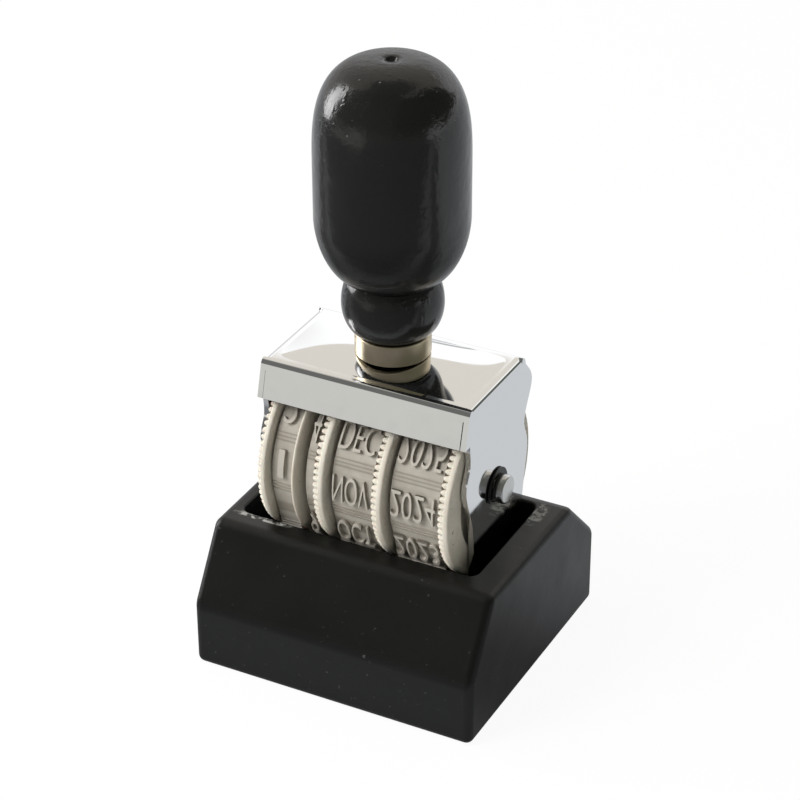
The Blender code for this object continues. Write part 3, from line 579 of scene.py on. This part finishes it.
def hood():
    apron_z = HOOD_TOP - APRON_HEIGHT
    left, right = STAMP_SHIFT - CHEEK_X, STAMP_SHIFT + CHEEK_X
    shell = plate("hood_and_cheeks", [hood_section(0, apron_z)], left, right)
    shape = bmesh.new()
    shape.from_mesh(shell.data)
    ends = [
        e for e in shape.edges
        if all(v.co.z > HOOD_TOP - 1e-5 for v in e.verts) and abs(e.verts[0].co.x - e.verts[1].co.x) < 1e-5
    ]
    bmesh.ops.bevel(
        shape, geom=ends, offset=HOOD_BEND, offset_type="OFFSET", segments=10, profile=0.5, affect="EDGES",
    )
    shape.to_mesh(shell.data)
    shape.free()
    cut(shell, crown("crown", HOOD_TOP - SHEET / 2, 0.00004), "UNION")
    cut(shell, plate("inside", [hood_section(SHEET, apron_z - 0.002)], left + SHEET, right - SHEET))
    cut(shell, crown("crown_inside", HOOD_TOP - HOOD_BEND, SHEET + 0.00004))
    for side in (-1, 1):
        outer, inner = side * CHEEK_X + STAMP_SHIFT, side * (CHEEK_X - SHEET) + STAMP_SHIFT
        cut(shell, plate("cheek", [cheek_outline()], min(inner, outer), max(inner, outer)), "UNION")
    for side, slit in ((-1, APRON_SLIT / 3), (1, APRON_SLIT)):
        inner = side * (CHEEK_X - SHEET) + STAMP_SHIFT
        beside = inner - side * slit
        for face in (-1, 1):
            front = sorted((face * (APRON_FOOT_DEPTH / 2 + 0.002), face * HOOD_TOP_DEPTH / 4))
            cut(shell, box(
                "slit", (min(inner, beside), front[0], apron_z - 0.002),
                (max(inner, beside), front[1], HOOD_TOP - HOOD_BEND - SLIT_MARGIN),
            ))
    for z, radius in ((AXLE_Z, AXLE_RADIUS + AXLE_HOLE_PLAY), (RIVET_Z, RIVET_HOLE_RADIUS)):
        cut(shell, plate("hole", [arc((0, z), radius, 0, 360, 48)[:-1]], -0.03, 0.03))
    screw_hole = plate(
        "screw_hole", [arc((0, 0), SCREW_HOLE_RADIUS, 0, 360, 48)[:-1]], 0.044, 0.050,
        Matrix.Translation((HANDLE_SHIFT, 0, 0)),
    )
    cut(shell, screw_hole)
    modify(shell, "BEVEL", width=SHEET_LIP, segments=2, angle_limit=math.radians(50))
    settle(shell)
    piece(weighted(shell, 35), "stamp", CHROME, "chrome", "frame")


def along_axle(x=0.0):
    return Matrix.Translation((x, 0, AXLE_Z)) @ X_FROM_Z


def axle_and_clips():
    end, groove = CHEEK_X + AXLE_OVERHANG, CHEEK_X + GROOVE_OFFSET
    side = [
        *arc((AXLE_RADIUS - AXLE_END_ROUND, end - AXLE_END_ROUND), AXLE_END_ROUND, 90, 0, 5),
        (AXLE_RADIUS, groove + GROOVE_WIDTH + GROOVE_LIP), (AXLE_RADIUS - GROOVE_LIP, groove + GROOVE_WIDTH),
        (GROOVE_RADIUS, groove + GROOVE_WIDTH), (GROOVE_RADIUS, groove),
        (AXLE_RADIUS - GROOVE_LIP, groove), (AXLE_RADIUS, groove - GROOVE_LIP),
    ]
    profile = [(0, end), *side, *[(r, -z) for r, z in reversed(side)], (0, -end)]
    rod = smooth(turned("axle_rod", profile, 64, along_axle(STAMP_SHIFT)), 50)
    piece(rod, "stamp", STEEL, "steel", "axle")
    mouth, gap = CLIP_MOUTH / 2, (360 - CLIP_MOUTH) / 5
    outside = arc((0, 0), CLIP_RADIUS, mouth, 360 - mouth, 56)
    inside = [
        p for i in range(5)
        for p in arc((0, 0), CLIP_RELIEF if i % 2 else CLIP_GRIP, 360 - mouth - i * gap,
                     360 - mouth - (i + 1) * gap, 9)
    ]
    turn = Matrix.Rotation(math.radians(CLIP_TURN), 2)
    outline = [tuple(turn @ Vector(p)) for p in (*outside, *inside)]
    for name, way in (("left", -1), ("right", 1)):
        middle = way * (groove + GROOVE_WIDTH / 2) + STAMP_SHIFT
        low, high = middle - CLIP_THICKNESS / 2, middle + CLIP_THICKNESS / 2
        clip = plate(f"clip_{name}", [outline], low, high, along_axle())
        modify(clip, "BEVEL", width=0.00004, segments=2, angle_limit=math.radians(40))
        piece(weighted(settle(clip), 40), "stamp", BLACK_STEEL, "black_steel", f"axle_clip_{name}")


def wheel_places():
    """Each wheel's drum and rim along X, from the left cheek to the right one."""
    at = STAMP_SHIFT - CHEEK_X + SHEET + RIM_PLAY
    end = STAMP_SHIFT + CHEEK_X - SHEET - RIM_PLAY
    places = {"tens": (at, at + TENS_RIM_WIDTH, at + TENS_RIM_WIDTH + TENS_DRUM)}
    at = places["tens"][2] + FLANGE_WIDTH + WHEEL_GAP
    for name, drum in (("units", UNITS_DRUM), ("month", MONTH_DRUM)):
        places[name] = (at, at + drum, at + drum + RIM_WIDTH)
        at += drum + RIM_WIDTH + WHEEL_GAP
    places["year"] = (at, end - RIM_WIDTH, end)
    return places


def scallop_tree():
    """Geometry nodes that set rounded teeth round one edge of a wheel's rim."""
    tree = bpy.data.node_groups.new("rim_teeth", "GeometryNodeTree")
    face = tree.interface
    face.new_socket("Geometry", in_out="INPUT", socket_type="NodeSocketGeometry")
    sizes = ("Count", "Circle radius", "Edge", "Tooth length", "Tooth width", "Tooth height", "Axle height")
    for name in sizes:
        kind = "NodeSocketInt" if name == "Count" else "NodeSocketFloat"
        face.new_socket(name, in_out="INPUT", socket_type=kind)
    face.new_socket("Material", in_out="INPUT", socket_type="NodeSocketMaterial")
    face.new_socket("Geometry", in_out="OUTPUT", socket_type="NodeSocketGeometry")
    made = {}

    def node(key, kind, **values):
        n = made[key] = tree.nodes.new(kind)
        for name, value in values.items():
            setattr(n, name, value)
        return n

    def link(a, out, b, into):
        tree.links.new(made[a].outputs[out], made[b].inputs[into])

    node("in", "NodeGroupInput")
    node("out", "NodeGroupOutput")
    node("circle", "GeometryNodeMeshCircle")
    node("size", "ShaderNodeCombineXYZ")
    node("tooth", "GeometryNodeMeshUVSphere")
    made["tooth"].inputs["Segments"].default_value = 10
    made["tooth"].inputs["Rings"].default_value = 6
    made["tooth"].inputs["Radius"].default_value = 1.0
    node("shape", "GeometryNodeTransform")
    node("outward", "GeometryNodeInputPosition")
    node("turn", "FunctionNodeAlignRotationToVector", axis="X")
    node("each", "GeometryNodeInstanceOnPoints")
    node("stand", "GeometryNodeTransform")
    made["stand"].inputs["Rotation"].default_value = (math.radians(90), 0, math.radians(90))
    node("place", "ShaderNodeCombineXYZ")
    node("join", "GeometryNodeJoinGeometry")
    node("real", "GeometryNodeRealizeInstances")
    node("paint", "GeometryNodeSetMaterial")
    link("in", "Count", "circle", "Vertices")
    link("in", "Circle radius", "circle", "Radius")
    link("in", "Tooth height", "size", "X")
    link("in", "Tooth width", "size", "Y")
    link("in", "Tooth length", "size", "Z")
    link("tooth", "Mesh", "shape", "Geometry")
    link("size", 0, "shape", "Scale")
    link("outward", 0, "turn", "Vector")
    link("circle", "Mesh", "each", "Points")
    link("shape", 0, "each", "Instance")
    link("turn", 0, "each", "Rotation")
    link("each", 0, "stand", "Geometry")
    link("in", "Edge", "place", "X")
    link("in", "Axle height", "place", "Z")
    link("place", 0, "stand", "Translation")
    link("stand", 0, "join", "Geometry")
    link("in", "Geometry", "join", "Geometry")
    link("join", 0, "real", "Geometry")
    link("real", 0, "paint", "Geometry")
    link("in", "Material", "paint", "Material")
    link("paint", 0, "out", "Geometry")
    return tree


TEETH = scallop_tree()


def toothed(obj, edge, reach):
    """Adds the teeth to a wheel, along the left edge of its rim."""
    modifier = obj.modifiers.new("teeth", "NODES")
    modifier.node_group = TEETH
    wanted = {
        "Count": TOOTH_COUNT, "Circle radius": TOOTH_CIRCLE, "Edge": edge + reach + TOOTH_LAP,
        "Tooth length": reach + TOOTH_LAP, "Tooth width": TOOTH_WIDTH, "Tooth height": TOOTH_HEIGHT,
        "Axle height": AXLE_Z, "Material": IVORY,
    }
    for item in TEETH.interface.items_tree:
        if item.in_out == "INPUT" and item.name in wanted:
            modifier[item.identifier] = wanted[item.name]
    return settle(obj)


def rim_crown(low, high, inner, power):
    """A rim's outer side as a rounded crown from its right edge to its left."""
    middle, half = (low + high) / 2, (high - low) / 2
    return [
        (inner + (RIM_RADIUS - inner) * (1 - abs(t) ** power) ** 0.5, middle - half * t)
        for t in (-1.0, -0.97, -0.9, -0.8, -0.65, -0.45, -0.2, 0.0, 0.2, 0.45, 0.65, 0.8, 0.9, 0.97, 1.0)
    ]


def dished(at, inwards):
    return [
        (BORE_RADIUS, at), (0.0041, at), (0.0042, at + inwards * 0.0001), (0.0042, at + inwards * 0.0009),
        (0.0091, at + inwards * 0.0009), (0.0092, at + inwards * 0.0008), (0.0092, at + inwards * 0.0001),
        (0.0093, at),
    ]


def wheels():
    places = wheel_places()
    low, drum_low, drum_high = places["tens"]
    flange_high = drum_high + FLANGE_WIDTH
    profile = [
        *rim_crown(drum_high + 0.0002, flange_high - 0.00045, 0.0126, 2.0), (DRUM_RADIUS, drum_high + 0.0002),
        (DRUM_RADIUS, drum_low), *rim_crown(low + TENS_TOOTH_REACH, drum_low, CROWN_FOOT, 4.5),
        *reversed(dished(low + TENS_TOOTH_REACH, 1)), (BORE_RADIUS, flange_high),
    ]
    body = smooth(turned("tens_thumb_wheel", profile, 160, along_axle()), 35)
    piece(toothed(body, low, TENS_TOOTH_REACH), "tens", IVORY, "ivory", "tens_wheel")
    for name in ("units", "month", "year"):
        drum_low, rim_low, rim_high = places[name]
        profile = [
            *rim_crown(rim_low + TOOTH_REACH, rim_high, CROWN_FOOT, 4.5),
            (DRUM_RADIUS, rim_low + TOOTH_REACH), (DRUM_RADIUS, drum_low), (BORE_RADIUS, drum_low),
            *dished(rim_high, -1),
        ]
        body = smooth(turned(f"{name}_thumb_wheel", profile, 160, along_axle()), 35)
        piece(toothed(body, rim_low, TOOTH_REACH), name, IVORY, "ivory", f"{name}_wheel")


class Loop:
    """The closed path of a band in Y and Z, at an offset out from drum and platen."""

    def __init__(self, offset):
        corner_y, corner_z = PLATEN_HALF_DEPTH - PLATEN_CORNER, PLATEN_BOTTOM + PLATEN_CORNER
        drop = AXLE_Z - corner_z
        contact = math.acos((DRUM_RADIUS - PLATEN_CORNER) / math.hypot(corner_y, drop))
        lean = math.atan2(drop, corner_y) - contact
        self.parts = []
        big, small = DRUM_RADIUS + offset, PLATEN_CORNER + offset
        self._arc((0, AXLE_Z), big, math.pi + lean, -lean)
        self._line()
        self._arc((corner_y, corner_z), small, -lean, -math.pi / 2)
        self._line()
        self._arc((-corner_y, corner_z), small, -math.pi / 2, -math.pi + lean)
        self._line()
        for i, part in enumerate(self.parts):
            if part[0] == "line":
                after = self.parts[(i + 1) % len(self.parts)]
                start = self._on_arc(self.parts[i - 1], 1.0)
                end = self._on_arc(after, 0.0)
                self.parts[i] = ("line", math.dist(start[0], end[0]), start, end)
        self.length = sum(p[1] for p in self.parts)

    def _arc(self, centre, radius, start, end):
        self.parts.append(("arc", radius * abs(end - start), centre, radius, start, end))

    def _line(self):
        self.parts.append(("line", 0.0, None, None))

    @staticmethod
    def _on_arc(part, t):
        _, _, centre, radius, start, end = part
        a = start + (end - start) * t
        way = (math.cos(a), math.sin(a))
        return (centre[0] + radius * way[0], centre[1] + radius * way[1]), way

    def at(self, s):
        """The point and outward direction at a distance s along the loop."""
        s %= self.length
        for part in self.parts:
            if s <= part[1]:
                t = s / part[1]
                if part[0] == "arc":
                    return self._on_arc(part, t)
                (p, way), (q, _) = part[2], part[3]
                return (p[0] + (q[0] - p[0]) * t, p[1] + (q[1] - p[1]) * t), way
            s -= part[1]
        return self._on_arc(self.parts[0], 0.0)

    def outline(self):
        count = 260
        return [self.at(self.length * i / count)[0] for i in range(count)]


MONTHS = ("JAN", "FEB", "MAR", "APR", "MAY", "JUN", "JUL", "AUG", "SEP", "OCT", "NOV", "DEC")
YEARS = tuple(str(2020 + (i - 6) % 12) for i in range(12))
TENS = ("3", "", "1", "2") * 3
UNITS = ("3", "2", "1", "0", "8", "7", "6", "5", "", "9", "", "4")
BAND_STARTS = {"tens": -0.0005, "units": -0.0021, "month": -0.0019, "year": -0.0017}
TYPE_HEIGHT = 0.0041
TYPE_RELIEF = 0.00062
TYPE_SINK = 0.0001
NARROW_ONE = 0.45
RIB_DEPTH = 0.00022
RIB_RELIEF = 0.00012
RIB_STEP = 0.00055


def letters(text, width):
    """Flat raised characters, centred, as a bmesh in X, Y and height Z, sliced so that they can bend."""
    curve = bpy.data.curves.new("type", "FONT")
    curve.body = text
    curve.align_x, curve.align_y = "CENTER", "CENTER"
    curve.size = 1.0
    curve.extrude = 0.5
    curve.offset = -0.008
    drawn = bpy.data.objects.new("type", curve)
    bpy.context.scene.collection.objects.link(drawn)
    bpy.context.view_layer.update()
    mesh = bpy.data.meshes.new_from_object(drawn.evaluated_get(bpy.context.evaluated_depsgraph_get()))
    bpy.data.objects.remove(drawn)
    shape = bmesh.new()
    shape.from_mesh(mesh)
    bmesh.ops.remove_doubles(shape, verts=shape.verts, dist=0.0001)
    low = [min(v.co[i] for v in shape.verts) for i in range(3)]
    high = [max(v.co[i] for v in shape.verts) for i in range(3)]
    for v in shape.verts:
        v.co.x = (v.co.x - (low[0] + high[0]) / 2) / (high[0] - low[0]) * width
        v.co.y = (v.co.y - (low[1] + high[1]) / 2) / (high[1] - low[1]) * TYPE_HEIGHT
        v.co.z = (v.co.z - low[2]) / (high[2] - low[2])
    for i in range(1, 9):
        y = -TYPE_HEIGHT / 2 + TYPE_HEIGHT * i / 9
        everything = shape.verts[:] + shape.edges[:] + shape.faces[:]
        bmesh.ops.bisect_plane(shape, geom=everything, plane_co=(0, y, 0), plane_no=(0, 1, 0))
    bmesh.ops.recalc_face_normals(shape, faces=shape.faces)
    return shape


def band(name, low, high, texts, first, glyph_width):
    """A type band: the loop, fine ribs between characters, and the raised characters upside down."""
    low, high = low + BAND_SIDE_GAP, high - BAND_SIDE_GAP
    outer, inner = Loop(SEAT_GAP + BAND_THICKNESS), Loop(SEAT_GAP)
    body = plate(f"{name}_type_band", [outer.outline(), list(reversed(inner.outline()))], low, high)
    smooth(body, 35)
    shape = bmesh.new()
    shape.from_mesh(body.data)
    middle, pitch = (low + high) / 2, outer.length / len(texts)
    crest = outer.parts[0][1] / 2

    def wrap(glyph, s, lift_low, lift_high):
        for v in glyph.verts:
            (y, z), way = outer.at(s - v.co.y)
            lift = lift_low + (lift_high - lift_low) * v.co.z
            v.co = (middle + v.co.x, y + way[0] * lift, z + way[1] * lift)
        bmesh.ops.recalc_face_normals(glyph, faces=glyph.faces)
        mesh = bpy.data.meshes.new("glyph")
        glyph.to_mesh(mesh)
        glyph.free()
        shape.from_mesh(mesh)
        bpy.data.meshes.remove(mesh)

    for i, text in enumerate(texts):
        s = crest + first + pitch * i
        if text:
            width = glyph_width * (NARROW_ONE if text == "1" else len(text))
            wrap(letters(text, width), s, -TYPE_SINK, TYPE_RELIEF)
        for beside in (-RIB_STEP, 0.0, RIB_STEP):
            rib = bmesh.new()
            bmesh.ops.create_cube(rib, size=1)
            for v in rib.verts:
                v.co = (v.co.x * (high - low), v.co.y * RIB_DEPTH + pitch / 2 + beside, v.co.z + 0.5)
            wrap(rib, s, -TYPE_SINK, RIB_RELIEF)
    shape.to_mesh(body.data)
    shape.free()
    return body


def bands():
    places = wheel_places()
    spans = {
        "tens": (places["tens"][1], places["tens"][2], TENS, 0.0021),
        "units": (places["units"][0], places["units"][1], UNITS, 0.0012),
        "month": (places["month"][0], places["month"][1], MONTHS, 0.0019),
        "year": (places["year"][0], places["year"][1], YEARS, 0.00175),
    }
    for name, (low, high, texts, width) in spans.items():
        made = band(name, low, high, texts, BAND_STARTS[name], width)
        piece(made, "stamp", RUBBER, "rubber", f"{name}_band")


def handle_side():
    ferrule_top = FERRULE_BOTTOM + FERRULE_HEIGHT
    shoulder_z = ferrule_top + BEAD_HEIGHT
    dome_z = HANDLE_TOP - DOME_HEIGHT
    dome = [
        (HANDLE_RADIUS * math.cos(t) ** (2 / DOME_POWER),
         dome_z + DOME_HEIGHT * math.sin(t) ** (2 / DOME_POWER))
        for t in (math.radians(88 - 2 * i) for i in range(45))
    ]
    spread = HANDLE_RADIUS - NECK_RADIUS
    shoulder = [
        (NECK_RADIUS + spread * math.cos(t) ** (2 / SHOULDER_POWER),
         shoulder_z + SHOULDER_HEIGHT * (1 - math.sin(t) ** (2 / SHOULDER_POWER)))
        for t in (math.radians(3 * i) for i in range(1, 31))
    ]
    swell = BEAD_RADIUS - (BEAD_BOTTOM_RADIUS + NECK_RADIUS) / 2
    bead_z = ferrule_top + 0.0003
    bead = []
    for i in range(1, 25):
        t = 1 - (1 - math.cos(math.pi * i / 24)) / 2
        taper = BEAD_BOTTOM_RADIUS + (NECK_RADIUS - BEAD_BOTTOM_RADIUS) * t
        bead.append((taper + swell * math.sin(math.pi * t ** 0.8) ** 0.7, bead_z + (shoulder_z - bead_z) * t))
    return [*dome, *shoulder, *bead]


def handle():
    side, tenon_z = handle_side(), FERRULE_BOTTOM + 0.0003
    mark = [(0, HANDLE_TOP - 0.0007), (0.0004, HANDLE_TOP - 0.00068), (0.0007, HANDLE_TOP - 0.0005),
            (0.0009, HANDLE_TOP - 0.00012), (0.00105, HANDLE_TOP - 0.00001)]
    profile = [
        *mark, *[p for p in side if p[0] > 0.0013], (TENON_RADIUS, side[-1][1]), (TENON_RADIUS, tenon_z),
        (SCREW_HOLE_RADIUS, tenon_z), (SCREW_HOLE_RADIUS, SCREW_BORE_TOP), (0, SCREW_BORE_TOP),
    ]
    wood = turned("handle_wood", profile, 128, Matrix.Translation((HANDLE_SHIFT, 0, 0)))
    piece(smooth(wood, 50), "stamp", LACQUER, "lacquer", "handle")
    r, top, low = FERRULE_RADIUS, FERRULE_BOTTOM + FERRULE_HEIGHT, FERRULE_BOTTOM + 0.00002
    profile = [
        *arc((r - 0.0003, top - 0.0003), 0.0003, 90, 0, 5),
        *arc((r - 0.0002, low + 0.0002), 0.0002, 0, -90, 5),
        (r - 0.0006, low), (r - 0.0006, top),
    ]
    ring = turned("ferrule_ring", profile, 128, Matrix.Translation((HANDLE_SHIFT, 0, 0)))
    piece(smooth(ring, 50), "stamp", WARM, "nickel", "ferrule")


block()
hood()
axle_and_clips()
wheels()
bands()
handle()

slots = {row["node"]: row["material_slot"] for row in frame["record"]["subparts"]}
for node, obj in frame["nodes"].items():
    obj.data.materials.clear()
    obj.data.materials.append(CAD_FINISH[slots[node]])


# Floor, studio and camera

def floor():
    shape = bmesh.new()
    bmesh.ops.create_grid(shape, x_segments=1, y_segments=1, size=2.0)
    obj = to_object("floor", shape)
    f = Finish("pale_floor", Roughness=0.6)
    seen = f.node("LightPath", {}, {}, "Is Camera Ray")
    glossy = f.node("LightPath", {}, {}, "Is Glossy Ray")
    f.set("Base Color", f.mix(f.noise(8.0), rgb("f2f2f1"), rgb("efefee")))
    light = f.node("Emission", {}, {"Color": (1, 1, 1, 1), "Strength": 1.0})
    # glossy rays see the floor as a glow in painted reflection tones: light grey behind the stamp, dark in
    # front of it with a lighter strip about 3 cm in front, warm far in front on the left
    ahead = 0 - f.y
    shade = f.ease(ahead, -0.03, 0.0) * (1 - f.near(ahead, 0.032, 0.026) * 0.7)
    far = f.ease(ahead, 0.28, 0.50) * f.ease(0 - f.x, 0.08, 0.22)
    tone = f.mix(shade, (0.67, 0.69, 0.71, 1.0), (0.20, 0.20, 0.21, 1.0))
    tone = f.mix(far, tone, (0.69, 0.68, 0.64, 1.0))
    painted_reflection_glow = f.node("Emission", {}, {"Color": tone, "Strength": 1.0})
    f.blend(glossy, painted_reflection_glow)
    f.blend(seen * 0.94, light)
    obj.data.materials.append(f.material)


def studio():
    """Light from all round, white behind, warm overhead, dim in front and low on the right."""
    world = bpy.data.worlds.new("studio")
    world.use_nodes = True
    bpy.context.scene.world = world
    f = Nodes(world.node_tree, "Generated")
    above = f.ease(f.z, 0.06, 0.16)
    colour = f.mix(f.ease(f.z, 0.4915, 0.4960), (1.25, 1.25, 1.25, 1.0), (0.84, 0.79, 0.71, 1.0))
    colour = f.mix(f.near(f.z, 0.05, 0.07) * f.ease(f.y, 0.2, 0.4), colour, (0.45, 0.45, 0.45, 1.0))
    colour = f.mix(f.ease(0 - f.x, 0.48, 0.75) * f.ease(f.y, 0.1, 0.3), colour, (0.80, 0.77, 0.76, 1.0))
    colour = f.mix(f.ease(0 - f.y, 0.05, 0.30), colour, (0.24, 0.24, 0.23, 1.0))
    low_left = f.ease(0 - f.y, 0.30, 0.50) * f.near(f.x, -0.41, 0.32)
    colour = f.mix(low_left, colour, (0.68, 0.67, 0.63, 1.0))
    colour = f.mix(f.ease(f.z, 0.88, 0.94), colour, (0.22, 0.22, 0.21, 1.0))
    colour = f.mix(f.ease(0 - f.y, 0.12, 0.40) * above, colour, (0.16, 0.16, 0.15, 1.0))
    right = f.ease(f.x, 0.44, 0.52) * f.ease(f.z, 0.03, 0.08)
    colour = f.mix(right, colour, (0.12, 0.13, 0.11, 1.0))
    seen = f.node("LightPath", {}, {}, "Is Camera Ray")
    colour = f.mix(seen, colour, (1.0, 1.0, 1.0, 1.0))
    background = f.tree.nodes["Background"]
    f.tree.links.new(colour.socket, background.inputs["Color"])
    background.inputs["Strength"].default_value = 1.0


def lamp(name, place, target, size, power, seen=True):
    data = bpy.data.lights.new(name, "AREA")
    data.shape, data.size, data.size_y = "ELLIPSE", size[0], size[1]
    data.energy = power
    obj = bpy.data.objects.new(name, data)
    bpy.context.scene.collection.objects.link(obj)
    obj.visible_glossy = seen
    obj.location = place
    obj.rotation_euler = (Vector(target) - Vector(place)).to_track_quat("-Z", "Y").to_euler()


def camera():
    az, el, roll = math.radians(27.63), math.radians(30.53), math.radians(-0.245)
    back = Vector((math.sin(az) * math.cos(el), -math.cos(az) * math.cos(el), math.sin(el)))
    right = Vector((math.cos(az), math.sin(az), 0))
    up = back.cross(right)
    turned_right = right * math.cos(roll) + up * math.sin(roll)
    turned_up = up * math.cos(roll) - right * math.sin(roll)
    data = bpy.data.cameras.new("camera")
    obj = bpy.data.objects.new("camera", data)
    bpy.context.scene.collection.objects.link(obj)
    place = Matrix((turned_right, turned_up, back)).transposed().to_4x4()
    place.translation = Vector((0.0006, 0, 0.03995)) + back * 0.38064
    obj.matrix_world = place
    data.sensor_width, data.lens, data.clip_start = 36, 120.28, 0.01
    bpy.context.scene.camera = obj


floor()
studio()
lamp("window", (-0.80, -0.08, 0.31), (0, 0, 0.08), (0.34, 0.80), 4.4)
lamp("room", (-0.42, -0.50, 0.62), (0, 0, 0.04), (0.5, 0.5), 8.5, seen=False)
camera()
bpy.context.scene.view_settings.view_transform = "Standard"
